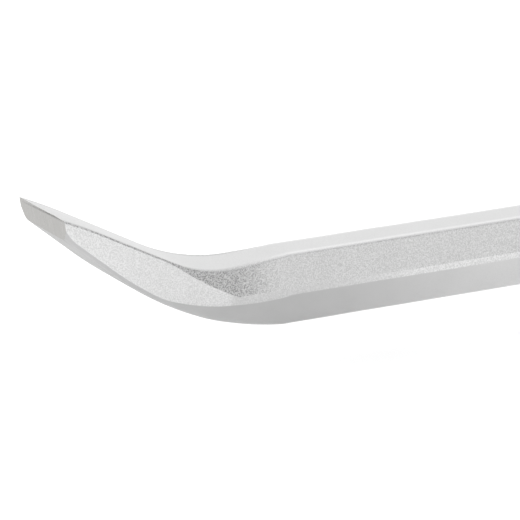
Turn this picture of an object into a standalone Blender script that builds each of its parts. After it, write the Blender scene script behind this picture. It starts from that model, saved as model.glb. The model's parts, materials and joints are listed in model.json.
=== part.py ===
"""Handled carpenter's pry bar: a forged bar with a bent chisel blade, and a struck handle on its tang.

Units are metres. The shank runs along X. The blade points to -X and rises towards +Z, and the strike
cap closes the handle at +X. The origin is under the middle of the bar, level with the handle's
underside.
"""

import math

import bmesh
import bpy

MM = 0.001

# Overall sizes
OVERALL_LENGTH = 450 * MM
HANDLE_LENGTH = 146 * MM
GUARD_HALF_WIDTH = 17.0 * MM
GUARD_HALF_HEIGHT = 15.5 * MM

# Forged shank: a tall drafted hexagon, flat above and below, with a blunt parting edge each side
SHANK_HEIGHT = 15.7 * MM
SHANK_WIDTH = 12.7 * MM
SHANK_TOP_WIDTH = 9.6 * MM
PARTING_EDGE_HEIGHT = 1.4 * MM
UPPER_ROUNDING = 0.9 * MM
LOWER_ROUNDING = 1.5 * MM
PARTING_ROUNDING = 0.5 * MM
SEAT_STEP = 0.5 * MM

# Blade: its reach is measured along the shank's axis, from the start of the bend to the cutting edge
BLADE_REACH = 57.5 * MM
BLADE_WIDTH = 21.5 * MM
END_FACE_HEIGHT = 4.6 * MM
END_FACE_SET_BACK = 0.75 * MM
BLADE_EDGE_ROUNDING = 0.35 * MM
LOWER_CHAMFER_HEIGHT = 1.2 * MM
BLADE_STATIONS = 30
CORNER_STEPS = 4

# Upper and lower lines of the blade, from the bend outwards: (run along the axis, slope at its end in
# degrees). A run whose slope changes is a circular arc. The straight run marked None takes what is left.
UPPER_RUNS = ((2.5 * MM, -4.5), (9.5 * MM, -4.5), (19.0 * MM, 27.5), (None, 27.5), (9.2 * MM, 22.5))
LOWER_RUNS = ((2.5 * MM, 0.0), (2.0 * MM, 7.0), (20.5 * MM, 27.0), (22.5 * MM, 43.5), (None, 43.5))

# Flare in plan, as distances from the start of the bend towards the cutting edge. The leads are shares
# of a flare's length over which it takes up its slope and loses it again.
UPPER_FLARE = (0.0 * MM, 46.0 * MM)
SIDE_FLARE = (12.0 * MM, 46.0 * MM)
FLARE_LEAD_IN = 0.2
FLARE_LEAD_OUT = 0.3
SIDE_FACET = (15.0 * MM, 34.0 * MM)
LOWER_SIDE_END = 36.0 * MM
LOWER_SIDE_LEAD = 0.1
SET_BACK_POWER = 4

# Tang, and the room that every piece on it keeps
TANG_HEIGHT = 10.0 * MM
TANG_WIDTH = 9.0 * MM
TANG_CHAMFER = 1.2 * MM
GAP = 0.3 * MM

# Collar and washers on the shank
COLLAR_LENGTH = 9.0 * MM
COLLAR_HALF_WIDTH = 12.0 * MM
COLLAR_HALF_HEIGHT = 12.0 * MM
COLLAR_CHAMFER = 1.5 * MM
BUFFER_LENGTH = 2.5 * MM
BUFFER_HALF_WIDTH = 13.0 * MM
BUFFER_HALF_HEIGHT = 12.6 * MM

# Handle, as distances from the core's front face. A drop is how far the surface lies inside the guards.
SLEEVE_FRONT = 17.0 * MM
SLEEVE_REAR_MARGIN = 23.0 * MM
SLEEVE_THICKNESS = 3.2 * MM
WAIST_DROP = 3.2 * MM
PALM_DROP = 1.5 * MM
END_DROP = 3.4 * MM
GUARD_LENGTH = 9.0 * MM
WAIST_PLACE = 0.22
WAIST_LEAD_IN = 0.3
WAIST_LEAD_OUT = 0.5
FRONT_END_ROUNDING = 6.0 * MM
REAR_END_ROUNDING = 5.0 * MM
HANDLE_SQUARENESS = 3.0
RING_POINTS = 36
RING_STEP = 3.5 * MM
END_RING_STEP = 1.0 * MM
SLEEVE_RING_STEP = 6.0 * MM
GROOVE_COUNT = 9
GROOVE_PITCH = 7.0 * MM
GROOVE_WIDTH = 2.6 * MM
GROOVE_DEPTH = 0.9 * MM
GROOVE_CLEARANCE = 0.8 * MM
BAND_WIDTH = 4.0 * MM
BAND_DEPTH = 1.5 * MM
BAND_REAR_MARGIN = 14.5 * MM

# Pins
TANG_PIN_RADIUS = 2.0 * MM
TANG_PIN_MARGIN = 9.5 * MM
TANG_PIN_REAR_MARGIN = 8.0 * MM
CAP_PIN_RADIUS = 1.75 * MM
CAP_PIN_BORE_RADIUS = 0.8 * MM
PIN_SEGMENTS = 20
PIN_RECESS = 0.5 * MM

# Strike cap and its washer
CAP_LENGTH = 13.0 * MM
CAP_HALF_WIDTH = 13.4 * MM
CAP_HALF_HEIGHT = 12.2 * MM
CAP_CHAMFER = 2.0 * MM
CAP_POCKET_DEPTH = 9.0 * MM
CAP_WASHER_LENGTH = 2.0 * MM
CAP_WASHER_MARGIN = 0.5 * MM

# Widest share of a flat that a corner's rounding may take, and how far a cutter passes the piece it cuts
MOST_ROUNDING = 0.45
CUTTER_MARGIN = 10.0 * MM

# Places along X that follow from the sizes above
TIP_X = -OVERALL_LENGTH / 2
BEND_X = TIP_X + BLADE_REACH
CAP_END_X = OVERALL_LENGTH / 2
CAP_X = CAP_END_X - CAP_LENGTH
CAP_WASHER_X = CAP_X - GAP - CAP_WASHER_LENGTH
HANDLE_END_X = CAP_WASHER_X - GAP
HANDLE_X = HANDLE_END_X - HANDLE_LENGTH
BUFFER_X = HANDLE_X - GAP - BUFFER_LENGTH
COLLAR_X = BUFFER_X - GAP - COLLAR_LENGTH
SHOULDER_X = HANDLE_X - GAP
TANG_END_X = CAP_X + CAP_POCKET_DEPTH - GAP
AXIS_Z = GUARD_HALF_HEIGHT


def clear_scene():
    """Removes every object, so that the bar is alone."""
    for old in list(bpy.data.objects):
        bpy.data.objects.remove(old, do_unlink=True)


def make_material(name, colour, metallic, roughness):
    """A Principled material with one colour."""
    material = bpy.data.materials.new(name)
    material.use_nodes = True
    shader = material.node_tree.nodes["Principled BSDF"]
    shader.inputs["Base Color"].default_value = (*colour, 1.0)
    shader.inputs["Metallic"].default_value = metallic
    shader.inputs["Roughness"].default_value = roughness
    return material


def add_object(name, mesh, x, material, parent):
    """Places a mesh whose own origin lies on the bar's axis."""
    piece = bpy.data.objects.new(name, mesh)
    bpy.context.scene.collection.objects.link(piece)
    piece.location = (x, 0.0, AXIS_Z)
    piece.parent = parent
    if material:
        mesh.materials.append(material)
    return piece


def add_cutter(name, mesh, x):
    """A helper that Booleans cut with. It is left out of renders."""
    cutter = add_object(name, mesh, x, None, None)
    cutter.hide_render = True
    cutter.display_type = "WIRE"
    return cutter


def cut(piece, *cutters):
    """Cuts each helper out of the piece."""
    for cutter in cutters:
        modifier = piece.modifiers.new("cut_" + cutter.name, "BOOLEAN")
        modifier.operation = "DIFFERENCE"
        modifier.solver = "EXACT"
        modifier.object = cutter


def smooth_mesh(mesh, sharp_angle=35.0):
    """Shades round faces smooth and keeps real edges sharp."""
    mesh.shade_smooth()
    mesh.set_sharp_from_angle(angle=math.radians(sharp_angle))


def mesh_from_rings(name, rings, looped=False):
    """Bridges rings of equally many points. A looped run closes on itself, else both ends are capped."""
    build = bmesh.new()
    loops = [[build.verts.new(point) for point in ring] for ring in rings]
    pairs = list(zip(loops, loops[1:]))
    if looped:
        pairs.append((loops[-1], loops[0]))
    for first, second in pairs:
        for index in range(len(first)):
            after = (index + 1) % len(first)
            build.faces.new((first[index], first[after], second[after], second[index]))
    if not looped:
        build.faces.new(loops[0])
        build.faces.new(loops[-1])
    bmesh.ops.recalc_face_normals(build, faces=build.faces)
    mesh = bpy.data.meshes.new(name)
    build.to_mesh(mesh)
    build.free()
    smooth_mesh(mesh)
    return mesh


def cylinder_across(name, radius, half_length):
    """A cylinder along Y, centred on the axis."""
    rings = []
    for y in (-half_length, half_length):
        turns = [2 * math.pi * index / PIN_SEGMENTS for index in range(PIN_SEGMENTS)]
        rings.append([(radius * math.cos(turn), y, radius * math.sin(turn)) for turn in turns])
    return mesh_from_rings(name, rings)


def rounded_ramp(share, lead_in, lead_out):
    """Rises from 0 to 1 in a straight ramp with a rounded start and end."""
    share = min(max(share, 0.0), 1.0)
    steepest = 1 / (1 - (lead_in + lead_out) / 2)
    if share < lead_in:
        return steepest * share**2 / (2 * lead_in)
    if share > 1 - lead_out:
        return 1 - steepest * (1 - share) ** 2 / (2 * lead_out)
    return steepest * (share - lead_in / 2)


def between(distance, start_and_end):
    """How far along a stretch a distance lies, from 0 to 1."""
    start, end = start_and_end
    return min(max((distance - start) / (end - start), 0.0), 1.0)


def line_rise(distance, runs):
    """Rise of a line of straight runs and circular arcs at a distance from its start."""
    spare = BLADE_REACH - sum(run for run, _ in runs if run)
    rise = 0.0
    slope = 0.0
    left = distance
    for run, end_degrees in runs:
        run = spare if run is None else run
        end = math.radians(end_degrees)
        taken = min(left, run)
        if abs(end - slope) < 1e-6:
            rise += taken * math.tan(slope)
        else:
            radius = run / (math.sin(end) - math.sin(slope))
            reached = math.asin(math.sin(slope) + taken / radius)
            rise += radius * (math.cos(slope) - math.cos(reached))
        slope = end
        left -= taken
        if left <= 0:
            break
    return rise


def upper_height(distance):
    """Height of the upper face over the shank's axis."""
    return SHANK_HEIGHT / 2 + line_rise(max(distance, 0.0), UPPER_RUNS)


def lower_height(distance):
    """Height of the lower face, which meets the end face at its named height."""
    full_rise = line_rise(BLADE_REACH, LOWER_RUNS)
    needed = upper_height(BLADE_REACH) - END_FACE_HEIGHT + SHANK_HEIGHT / 2
    reach = BLADE_REACH - END_FACE_SET_BACK
    share = max(distance, 0.0) / reach
    return -SHANK_HEIGHT / 2 + line_rise(share * BLADE_REACH, LOWER_RUNS) * needed / full_rise


def rounded_outline(half_corners, set_backs):
    """A symmetric closed outline from its right-hand corners, top to bottom, each rounded by its set-back."""
    corners = list(half_corners) + [(-y, z) for y, z in reversed(half_corners)]
    set_backs = list(set_backs) + list(reversed(set_backs))
    count = len(corners)
    outline = []
    for index, (y, z) in enumerate(corners):
        before = corners[index - 1]
        after = corners[(index + 1) % count]
        ends = []
        for other_y, other_z in (before, after):
            length = math.hypot(other_y - y, other_z - z)
            share = min(set_backs[index], MOST_ROUNDING * length) / length
            ends.append((y + share * (other_y - y), z + share * (other_z - z)))
        for step in range(CORNER_STEPS + 1):
            t = step / CORNER_STEPS
            weights = ((1 - t) ** 2, 2 * t * (1 - t), t**2)
            points = (ends[0], (y, z), ends[1])
            outline.append(tuple(sum(w * p[i] for w, p in zip(weights, points)) for i in (0, 1)))
    return outline


def bar_section(distance):
    """The bar's outline at a distance from the start of the bend towards the cutting edge."""
    set_back = END_FACE_SET_BACK * (max(distance, 0.0) / BLADE_REACH) ** SET_BACK_POWER
    top = upper_height(distance)
    bottom = lower_height(distance - set_back)
    upper_flare = rounded_ramp(between(distance, UPPER_FLARE), FLARE_LEAD_IN, FLARE_LEAD_OUT)
    side_flare = rounded_ramp(between(distance, SIDE_FLARE), FLARE_LEAD_IN, FLARE_LEAD_OUT)
    top_half = (SHANK_TOP_WIDTH + (BLADE_WIDTH - SHANK_TOP_WIDTH) * upper_flare) / 2
    side_half = (SHANK_WIDTH + (BLADE_WIDTH - SHANK_WIDTH) * side_flare) / 2
    bottom_half = side_half - (SHANK_WIDTH - SHANK_TOP_WIDTH) / 2
    edge_half = PARTING_EDGE_HEIGHT / 2
    facet = math.sin(math.pi / 2 * between(distance, SIDE_FACET))
    facet_top = edge_half + (top - BLADE_EDGE_ROUNDING - edge_half) * facet
    shank_side = SHANK_HEIGHT / 2 - edge_half
    narrowing = rounded_ramp(between(distance, (0.0, LOWER_SIDE_END)), LOWER_SIDE_LEAD, LOWER_SIDE_LEAD)
    lower_side = shank_side + (LOWER_CHAMFER_HEIGHT - shank_side) * narrowing
    corners = (
        (top_half, top),
        (side_half, facet_top),
        (side_half, bottom + lower_side),
        (bottom_half, bottom),
    )
    upper_rounding = UPPER_ROUNDING + (BLADE_EDGE_ROUNDING - UPPER_ROUNDING) * facet
    outline = rounded_outline(corners, (upper_rounding, PARTING_ROUNDING, PARTING_ROUNDING, LOWER_ROUNDING))
    return [(-distance + set_back * (top - z) / (top - bottom), y, z) for y, z in outline]


def seat_section(x, room=0.0):
    """The shank's outline where collar and washer sit, a step smaller than the shank, grown by room."""
    wide = 1 + 2 * (room - SEAT_STEP) / SHANK_TOP_WIDTH
    high = 1 + 2 * (room - SEAT_STEP) / SHANK_HEIGHT
    return [(x, y * wide, z * high) for _, y, z in bar_section(0.0)]


def tang_section(x, extra=0.0):
    """The tang's chamfered outline at a place along X, grown by extra on every side."""
    half_width = TANG_WIDTH / 2 + extra
    half_height = TANG_HEIGHT / 2 + extra
    corners = (
        (half_width - TANG_CHAMFER, half_height),
        (half_width, half_height - TANG_CHAMFER),
        (half_width, -half_height + TANG_CHAMFER),
        (half_width - TANG_CHAMFER, -half_height),
    )
    chamfer_rounding = TANG_CHAMFER / 3
    return [(x, y, z) for y, z in rounded_outline(corners, [chamfer_rounding] * len(corners))]


def rounded_square(x, half_width, half_height):
    """A ring between an ellipse and a rectangle, as the handle's sections are."""
    ring = []
    for index in range(RING_POINTS):
        turn = 2 * math.pi * (index + 0.5) / RING_POINTS
        y = math.copysign(abs(math.cos(turn)) ** (2 / HANDLE_SQUARENESS), math.cos(turn))
        z = math.copysign(abs(math.sin(turn)) ** (2 / HANDLE_SQUARENESS), math.sin(turn))
        ring.append((x, half_width * y, half_height * z))
    return ring


def make_forged_bar(parent):
    """Blade, flare, bend, shank, collar seat, shoulder and tang: one steel forging."""
    distances = [BLADE_REACH * (1 - index / BLADE_STATIONS) for index in range(BLADE_STATIONS + 1)]
    seat = COLLAR_X - GAP - BEND_X
    shoulder = SHOULDER_X - BEND_X
    rings = [bar_section(distance) for distance in distances]
    rings.append(bar_section(-seat))
    rings.append(seat_section(seat))
    rings.append(seat_section(shoulder))
    rings.append(tang_section(shoulder))
    rings.append(tang_section(TANG_END_X - BEND_X))
    steel = make_material("satin_plated_steel", (0.62, 0.62, 0.61), 1.0, 0.38)
    return add_object("forged_bar", mesh_from_rings("forged_bar", rings), BEND_X, steel, parent)


def seat_cutter(name, x, length):
    """A length of the collar seat's own section with room around it."""
    rings = [seat_section(end, GAP) for end in (-CUTTER_MARGIN, length + CUTTER_MARGIN)]
    return add_cutter(name, mesh_from_rings(name, rings), x)


def tang_cutter(name, x, start, end):
    """A length of the tang's own section with room around it."""
    rings = [tang_section(place, GAP) for place in (start, end)]
    return add_cutter(name, mesh_from_rings(name, rings), x)


def chamfered_block(name, length, half_width, half_height, chamfer):
    """A rounded-square block along X, chamfered at both ends."""
    places = ((0.0, chamfer), (chamfer, 0.0), (length - chamfer, 0.0), (length, chamfer))
    rings = [rounded_square(x, half_width - drop, half_height - drop) for x, drop in places]
    return mesh_from_rings(name, rings)


def make_bolster_collar(parent):
    """The steel collar pressed on the shank ahead of the handle."""
    steel = make_material("collar_steel", (0.5, 0.5, 0.5), 1.0, 0.35)
    mesh = chamfered_block(
        "bolster_collar", COLLAR_LENGTH, COLLAR_HALF_WIDTH, COLLAR_HALF_HEIGHT, COLLAR_CHAMFER
    )
    collar = add_object("bolster_collar", mesh, COLLAR_X, steel, parent)
    cut(collar, seat_cutter("collar_bore", COLLAR_X, COLLAR_LENGTH))


def make_buffer_washer(parent):
    """The elastomer washer between collar and handle."""
    rubber = make_material("buffer_rubber", (0.02, 0.02, 0.02), 0.0, 0.7)
    rings = [rounded_square(x, BUFFER_HALF_WIDTH, BUFFER_HALF_HEIGHT) for x in (0.0, BUFFER_LENGTH)]
    washer = add_object("buffer_washer", mesh_from_rings("buffer_washer", rings), BUFFER_X, rubber, parent)
    cut(washer, seat_cutter("buffer_bore", BUFFER_X, BUFFER_LENGTH))


def handle_drop(x):
    """How far the handle's surface lies inside its guards at a distance from its front face."""
    rear = HANDLE_LENGTH - x
    if x < FRONT_END_ROUNDING:
        return END_DROP * (1 - math.sqrt(1 - (1 - x / FRONT_END_ROUNDING) ** 2))
    if rear < REAR_END_ROUNDING:
        return END_DROP * (1 - math.sqrt(1 - (1 - rear / REAR_END_ROUNDING) ** 2))
    grip = between(x, (GUARD_LENGTH, HANDLE_LENGTH - GUARD_LENGTH))
    share = min(1.0, math.sin(math.pi * grip) / math.sin(math.pi * WAIST_PLACE))
    waist = WAIST_DROP * rounded_ramp(share, WAIST_LEAD_IN, WAIST_LEAD_OUT)
    palm = math.sin(math.pi * between(grip, (WAIST_PLACE, 1 - WAIST_PLACE))) ** 2
    return waist - (WAIST_DROP - PALM_DROP) * palm


def handle_ring(x, sunk=0.0):
    """The handle's ring at a distance from its front face, sunk below its surface."""
    drop = handle_drop(x) + sunk
    return rounded_square(x, GUARD_HALF_WIDTH - drop, GUARD_HALF_HEIGHT - drop)


def spread(start, end, step):
    """Evenly spaced distances from start to end, both included, no further apart than step."""
    count = max(1, math.ceil((end - start) / step - 1e-6))
    return [start + (end - start) * index / count for index in range(count + 1)]


def sleeve_end():
    """Where the sleeve ends, measured from the core's front face."""
    return HANDLE_LENGTH - SLEEVE_REAR_MARGIN


def band_span():
    """Where the size band starts and ends, measured from the core's front face."""
    start = HANDLE_LENGTH - BAND_REAR_MARGIN - BAND_WIDTH
    return start, start + BAND_WIDTH


def make_handle_core(parent):
    """The rigid core: both guards, the seat under the sleeve and the groove for the size band."""
    plastic = make_material("handle_polypropylene", (0.012, 0.012, 0.013), 0.0, 0.5)
    sleeve = (SLEEVE_FRONT - GAP, sleeve_end() + GAP)
    band = (band_span()[0] - GAP, band_span()[1] + GAP)
    seat = SLEEVE_THICKNESS + GAP
    groove = BAND_DEPTH + GAP
    rings = [handle_ring(x) for x in spread(0.0, FRONT_END_ROUNDING, END_RING_STEP)]
    rings += [handle_ring(x) for x in spread(FRONT_END_ROUNDING, sleeve[0], RING_STEP)[1:]]
    rings += [handle_ring(x, seat) for x in spread(sleeve[0], sleeve[1], SLEEVE_RING_STEP)]
    rings += [handle_ring(x) for x in (sleeve[1], band[0])]
    rings += [handle_ring(x, groove) for x in band]
    rear = HANDLE_LENGTH - REAR_END_ROUNDING
    rings += [handle_ring(x) for x in spread(band[1], rear, RING_STEP)]
    rings += [handle_ring(x) for x in spread(rear, HANDLE_LENGTH, END_RING_STEP)[1:]]
    core = add_object("handle_core", mesh_from_rings("handle_core", rings), HANDLE_X, plastic, parent)
    cut(core, tang_cutter("core_bore", HANDLE_X, -CUTTER_MARGIN, HANDLE_LENGTH + CUTTER_MARGIN))
    return core


def groove_drop(x):
    """Depth of the finger grooves round the sleeve at a distance from the core's front face."""
    middle = (SLEEVE_FRONT + sleeve_end()) / 2
    first = middle - GROOVE_PITCH * (GROOVE_COUNT - 1) / 2
    nearest = min(abs(x - first - GROOVE_PITCH * index) for index in range(GROOVE_COUNT))
    if nearest > GROOVE_WIDTH / 2:
        return 0.0
    return GROOVE_DEPTH * math.cos(math.pi * nearest / GROOVE_WIDTH)


def sleeve_places():
    """Distances at which the sleeve's outside is drawn, closer together in its grooves."""
    middle = (SLEEVE_FRONT + sleeve_end()) / 2
    places = set(spread(SLEEVE_FRONT, sleeve_end(), SLEEVE_RING_STEP))
    for index in range(GROOVE_COUNT):
        centre = middle + GROOVE_PITCH * (index - (GROOVE_COUNT - 1) / 2)
        low = centre - GROOVE_WIDTH / 2
        high = centre + GROOVE_WIDTH / 2
        places = {x for x in places if not low - GROOVE_CLEARANCE < x < high + GROOVE_CLEARANCE}
        places |= set(spread(low, high, GROOVE_WIDTH / 2))
    return sorted(places)


def make_grip_sleeve(parent):
    """The soft sleeve round the core."""
    soft = make_material("grip_elastomer", (0.55, 0.03, 0.02), 0.0, 0.6)
    outside = [handle_ring(x, groove_drop(x)) for x in sleeve_places()]
    inside_places = spread(SLEEVE_FRONT, sleeve_end(), SLEEVE_RING_STEP)
    inside = [handle_ring(x, SLEEVE_THICKNESS) for x in inside_places]
    mesh = mesh_from_rings("grip_sleeve", outside + inside[::-1], looped=True)
    add_object("grip_sleeve", mesh, HANDLE_X, soft, parent)


def make_size_band(parent):
    """The coloured band let into the rear guard."""
    plastic = make_material("band_nylon", (0.55, 0.03, 0.02), 0.0, 0.4)
    start, end = band_span()
    path = ((start, 0.0), (end, 0.0), (end, BAND_DEPTH), (start, BAND_DEPTH))
    rings = [handle_ring(x, sunk) for x, sunk in path]
    add_object("size_band", mesh_from_rings("size_band", rings, looped=True), HANDLE_X, plastic, parent)


def add_tang_pin(name, from_front, core, bar, parent):
    """A cross pin through the core and the tang, and the holes that it sits in."""
    steel = make_material(name + "_steel", (0.45, 0.45, 0.45), 1.0, 0.3)
    half_length = GUARD_HALF_WIDTH - handle_drop(from_front) - PIN_RECESS
    x = HANDLE_X + from_front
    mesh = cylinder_across(name, TANG_PIN_RADIUS, half_length)
    add_object(name, mesh, x, steel, parent)
    hole_mesh = cylinder_across(name + "_hole", TANG_PIN_RADIUS + GAP, 2 * GUARD_HALF_WIDTH)
    hole = add_cutter(name + "_hole", hole_mesh, x)
    cut(core, hole)
    cut(bar, hole)


def make_cap_washer(parent):
    """The thin steel washer under the strike cap."""
    steel = make_material("washer_steel", (0.5, 0.5, 0.5), 1.0, 0.4)
    half_width = GUARD_HALF_WIDTH - END_DROP - CAP_WASHER_MARGIN
    half_height = GUARD_HALF_HEIGHT - END_DROP - CAP_WASHER_MARGIN
    rings = [rounded_square(x, half_width, half_height) for x in (0.0, CAP_WASHER_LENGTH)]
    mesh = mesh_from_rings("cap_washer", rings)
    washer = add_object("cap_washer", mesh, CAP_WASHER_X, steel, parent)
    cut(washer, tang_cutter("washer_bore", CAP_WASHER_X, -CUTTER_MARGIN, CAP_WASHER_LENGTH + CUTTER_MARGIN))


def make_strike_cap(bar, parent):
    """The hardened cap on the tang's end, and the spring pin that locks it."""
    steel = make_material("hardened_cap_steel", (0.42, 0.42, 0.42), 1.0, 0.3)
    mesh = chamfered_block("strike_cap", CAP_LENGTH, CAP_HALF_WIDTH, CAP_HALF_HEIGHT, CAP_CHAMFER)
    cap = add_object("strike_cap", mesh, CAP_X, steel, parent)
    pocket = tang_cutter("cap_pocket", CAP_X, -CUTTER_MARGIN, CAP_POCKET_DEPTH)
    pin_x = CAP_X + CAP_POCKET_DEPTH / 2
    hole_mesh = cylinder_across("cap_pin_hole", CAP_PIN_RADIUS + GAP, 2 * CAP_HALF_WIDTH)
    hole = add_cutter("cap_pin_hole", hole_mesh, pin_x)
    cut(cap, pocket, hole)
    cut(bar, hole)
    spring = make_material("spring_pin_steel", (0.3, 0.3, 0.3), 1.0, 0.35)
    pin_mesh = cylinder_across("cap_pin", CAP_PIN_RADIUS, CAP_HALF_WIDTH - PIN_RECESS)
    pin = add_object("cap_pin", pin_mesh, pin_x, spring, parent)
    core_mesh = cylinder_across("cap_pin_bore", CAP_PIN_BORE_RADIUS, 2 * CAP_HALF_WIDTH)
    cut(pin, add_cutter("cap_pin_bore", core_mesh, pin_x))


def main():
    """Builds the whole bar under one empty."""
    clear_scene()
    parent = bpy.data.objects.new("pry_bar", None)
    bpy.context.scene.collection.objects.link(parent)
    bar = make_forged_bar(parent)
    make_bolster_collar(parent)
    make_buffer_washer(parent)
    core = make_handle_core(parent)
    make_grip_sleeve(parent)
    make_size_band(parent)
    add_tang_pin("tang_pin_front", TANG_PIN_MARGIN, core, bar, parent)
    add_tang_pin("tang_pin_rear", HANDLE_LENGTH - TANG_PIN_REAR_MARGIN, core, bar, parent)
    make_cap_washer(parent)
    make_strike_cap(bar, parent)


main()
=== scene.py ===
"""Looks of a handled carpenter's pry bar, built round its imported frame.

The forged bar, its collar, washers, handle, pins and strike cap are each rebuilt as a fine mesh in the
place that the frame gives, and get the finish of the real material. Units are metres. The shank runs
along X with the blade at -X, and Z is up.
"""

from __future__ import annotations

import json
import logging
import math
from dataclasses import dataclass, field
from enum import Enum
from typing import Any, Sequence

import bpy
from mathutils import Matrix, Vector, noise

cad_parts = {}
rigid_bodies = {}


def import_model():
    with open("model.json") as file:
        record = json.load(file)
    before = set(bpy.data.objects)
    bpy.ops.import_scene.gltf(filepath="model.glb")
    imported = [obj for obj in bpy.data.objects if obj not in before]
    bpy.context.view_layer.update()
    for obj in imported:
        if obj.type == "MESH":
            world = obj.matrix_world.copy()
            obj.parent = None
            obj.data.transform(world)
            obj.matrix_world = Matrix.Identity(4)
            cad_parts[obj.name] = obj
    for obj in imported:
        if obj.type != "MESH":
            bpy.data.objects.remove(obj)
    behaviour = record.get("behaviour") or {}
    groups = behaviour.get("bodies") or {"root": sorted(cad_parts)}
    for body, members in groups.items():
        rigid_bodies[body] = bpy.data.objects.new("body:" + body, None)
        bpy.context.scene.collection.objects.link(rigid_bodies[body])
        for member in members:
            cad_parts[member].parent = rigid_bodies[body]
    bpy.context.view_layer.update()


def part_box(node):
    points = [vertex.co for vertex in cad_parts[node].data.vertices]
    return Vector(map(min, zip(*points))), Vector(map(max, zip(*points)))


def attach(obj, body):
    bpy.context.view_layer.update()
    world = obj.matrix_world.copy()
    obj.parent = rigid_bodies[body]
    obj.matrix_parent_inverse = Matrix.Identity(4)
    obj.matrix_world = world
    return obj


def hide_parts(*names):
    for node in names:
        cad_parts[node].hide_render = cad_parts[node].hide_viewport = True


MM = 0.001
BODY = "root"
TINY = 1e-6

# Places of the sockets on a mix node that blends colours. Its other sockets have the same names.
MIX_SHARE, MIX_FIRST, MIX_SECOND, MIX_RESULT = 0, 6, 7, 2

QUAD_CORNERS = 4
RING_POINTS = 96
RING_SQUARENESS = 3.0
HOLE_SIDES = 40
PIN_SIDES = 48
SHARP_DEGREES = 38.0
SOFT_EDGE_DEGREES = 50.0

Point = tuple[float, float, float]
Span = tuple[float, float]
Outline = list[tuple[float, float]]
Tree = bpy.types.NodeTree
Node = bpy.types.Node
Socket = bpy.types.NodeSocket
Piece = bpy.types.Object

log = logging.getLogger("pry_bar")


# ---------------------------------------------------------------------------------------------------
# Colour and node helpers
# ---------------------------------------------------------------------------------------------------


def linear_colour(hex_code: str) -> tuple[float, float, float, float]:
    """Turns an sRGB colour into the linear one that shaders take.

    Args:
        hex_code: Six hexadecimal digits, such as "a0a5a8".

    Returns:
        Linear red, green and blue, and an alpha of 1.
    """
    channels = [int(hex_code[start : start + 2], 16) / 255 for start in (0, 2, 4)]
    linear = [c / 12.92 if c <= 0.04045 else ((c + 0.055) / 1.055) ** 2.4 for c in channels]
    return (linear[0], linear[1], linear[2], 1.0)


def add_node(
    tree: Tree,
    kind: str,
    settings: dict[str, Any] | None = None,
    values: dict[str | int, Any] | None = None,
    links: dict[str | int, Socket] | None = None,
) -> Node:
    """Adds a node with its settings, its sockets' values and its links.

    Args:
        tree: The tree that the node goes in.
        kind: The node's type, such as "ShaderNodeTexNoise".
        settings: The node's own properties.
        values: Constants for input sockets, by name or index.
        links: Output sockets that feed input sockets, by name or index.

    Returns:
        The new node.
    """
    node = tree.nodes.new(kind)
    for key, value in (settings or {}).items():
        setattr(node, key, value)
    for socket, value in (values or {}).items():
        node.inputs[socket].default_value = value
    for socket, source in (links or {}).items():
        tree.links.new(source, node.inputs[socket])
    return node


def per_metre(size: float) -> float:
    """Texture scale that gives a pattern its real size, in features per metre."""
    return 1.0 / size


def ranges(source: Span, target: Span) -> dict[str | int, Any]:
    """Values of a map-range node's sockets, so that it turns one range into another.

    Args:
        source: The range that its value comes in.
        target: The range that it goes to.

    Returns:
        A value for each of the four sockets, by place.
    """
    return dict(enumerate((*source, *target), start=1))


# ---------------------------------------------------------------------------------------------------
# Finishes
# ---------------------------------------------------------------------------------------------------


@dataclass(frozen=True)
class Stain:
    """A tone that shows on a finish where a pattern is strong.

    Attributes:
        tone: Its sRGB hex colour.
        strong: The pattern's values between which the tone comes in.
        share: How much of it shows at each of them.
    """

    tone: str
    strong: Span = (0.4, 0.7)
    share: Span = (0.0, 0.5)


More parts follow.
